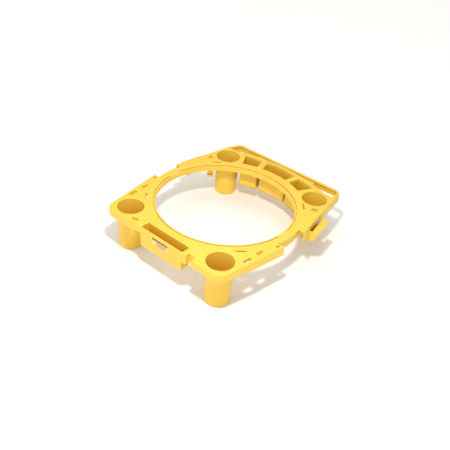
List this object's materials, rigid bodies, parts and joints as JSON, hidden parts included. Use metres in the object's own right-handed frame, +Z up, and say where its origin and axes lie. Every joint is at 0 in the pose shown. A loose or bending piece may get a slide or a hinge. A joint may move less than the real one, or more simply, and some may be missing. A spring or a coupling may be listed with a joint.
{
  "type": "rim caddy for a round waste container",
  "caption": "Yellow moulded caddy that drops over the rim of a round container, with bottle cups, a slot tray, rear bins, a rear rail and side tool holsters.",
  "frame": {"origin": "middle of the bounding box at the level of the cup bottoms, so the ring centre lies 32.5 mm in front of it", "axes": "+Z up, -Y towards the tray and label (front), +Y towards the rail and bins (rear), +X right seen from the front"},
  "size_m": [0.7118, 0.785, 0.171],
  "materials": {
    "yellow_moulding": "satin moulded polyethylene, fine grain",
    "marking": "printed film, satin"
  },
  "bodies": {
    "root": {"deck_front": "yellow_moulding", "deck_rear": "yellow_moulding", "deck_bridge_right": "yellow_moulding", "deck_bridge_left": "yellow_moulding", "channel_roof": "yellow_moulding", "collar": "yellow_moulding", "rim_wall_right": "yellow_moulding", "rim_wall_rear": "yellow_moulding", "rim_wall_left": "yellow_moulding", "rim_wall_front": "yellow_moulding", "cup_front_right": "yellow_moulding", "cup_front_left": "yellow_moulding", "cup_rear_right": "yellow_moulding", "cup_rear_left": "yellow_moulding", "tray": "yellow_moulding", "label": "marking", "bin_centre": "yellow_moulding", "bin_right": "yellow_moulding", "bin_left": "yellow_moulding", "skirt_front_right": "yellow_moulding", "skirt_front_left": "yellow_moulding", "notch_wall": "yellow_moulding", "skirt_lobe_right": "yellow_moulding", "skirt_lobe_left": "yellow_moulding", "skirt_rear_right": "yellow_moulding", "skirt_rear_left": "yellow_moulding", "rear_rail": "yellow_moulding", "rail_web": "yellow_moulding", "holster_right": "yellow_moulding", "holster_left": "yellow_moulding", "rim_clip_rear_right": "yellow_moulding", "rim_clip_rear_left": "yellow_moulding", "rim_clip_front_left": "yellow_moulding", "rim_clip_front_right": "yellow_moulding"}
  },
  "joints": []
}
